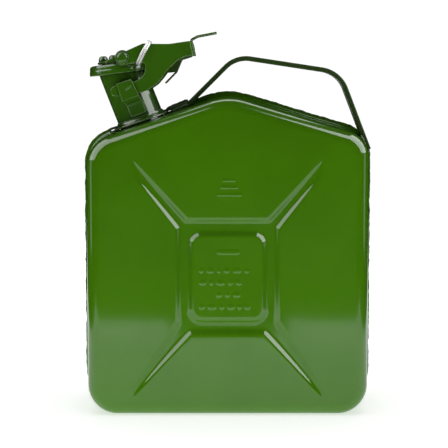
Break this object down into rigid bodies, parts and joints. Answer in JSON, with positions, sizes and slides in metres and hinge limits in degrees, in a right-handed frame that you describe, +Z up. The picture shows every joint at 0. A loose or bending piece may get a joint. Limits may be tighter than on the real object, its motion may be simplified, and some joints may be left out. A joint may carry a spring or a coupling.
{
  "type": "jerry can",
  "caption": "Flat upright pressed-steel fuel can with sloping shoulders, a bar handle, a tilted neck and a hinged lid clamped by a cam lever.",
  "frame": {"origin": "centre of the bounding box's lower face, on the floor under the can", "axes": "+Z up, +X towards the handle's welded end and away from the neck, -Y out of the front face"},
  "size_m": [0.24, 0.112, 0.3123],
  "materials": {
    "tank_paint": "glossy baked green enamel",
    "fitting_paint": "glossy green enamel, thin on edges",
    "handle_paint": "satin green enamel",
    "zinc_plate": "bright zinc plating",
    "seal_rubber": "matt black nitrile rubber"
  },
  "bodies": {
    "can": {"front_shell": "tank_paint", "rear_shell": "tank_paint", "carry_handle": "handle_paint", "neck_tube": "fitting_paint", "neck_collar": "fitting_paint", "bracket_front": "fitting_paint", "bracket_rear": "fitting_paint", "hinge_lug": "fitting_paint", "lid_hinge_pin": "zinc_plate", "vent_tube": "zinc_plate"},
    "lid": {"lid_cap": "fitting_paint", "lid_gasket": "seal_rubber", "gasket_retainer": "zinc_plate", "lid_saddle": "fitting_paint", "saddle_rivet_1": "fitting_paint", "saddle_rivet_2": "fitting_paint", "hinge_leaf": "fitting_paint", "lever_pivot_pin": "fitting_paint", "pivot_washer_front": "fitting_paint", "pivot_washer_rear": "fitting_paint"},
    "lever": {"cam_lever": "fitting_paint", "hold_open_catch": "fitting_paint", "catch_rivet_1": "fitting_paint", "catch_rivet_2": "fitting_paint"},
    "ring": {"split_ring": "zinc_plate"}
  },
  "joints": [
    {"name": "lever_pivot", "type": "hinge", "parent": "lid", "child": "lever", "pos_m": [-0.08591, 0, 0.2906], "axis": [0, -1, 0], "range_deg": [0, 140]},
    {"name": "lid_hinge", "type": "hinge", "parent": "can", "child": "lid", "pos_m": [-0.0618, 0, 0.2792], "axis": [0, 1, 0], "range_deg": [0, 105]},
    {"name": "ring_turn", "type": "hinge", "parent": "lever", "child": "ring", "pos_m": [-0.06833, -0.0256, 0.29453], "axis": [0.8854, 0, -0.4648], "continuous": true}
  ],
  "couplings": [
    {"joint": "lid_hinge", "follows": "lever_pivot", "ratio": 0.75}
  ]
}
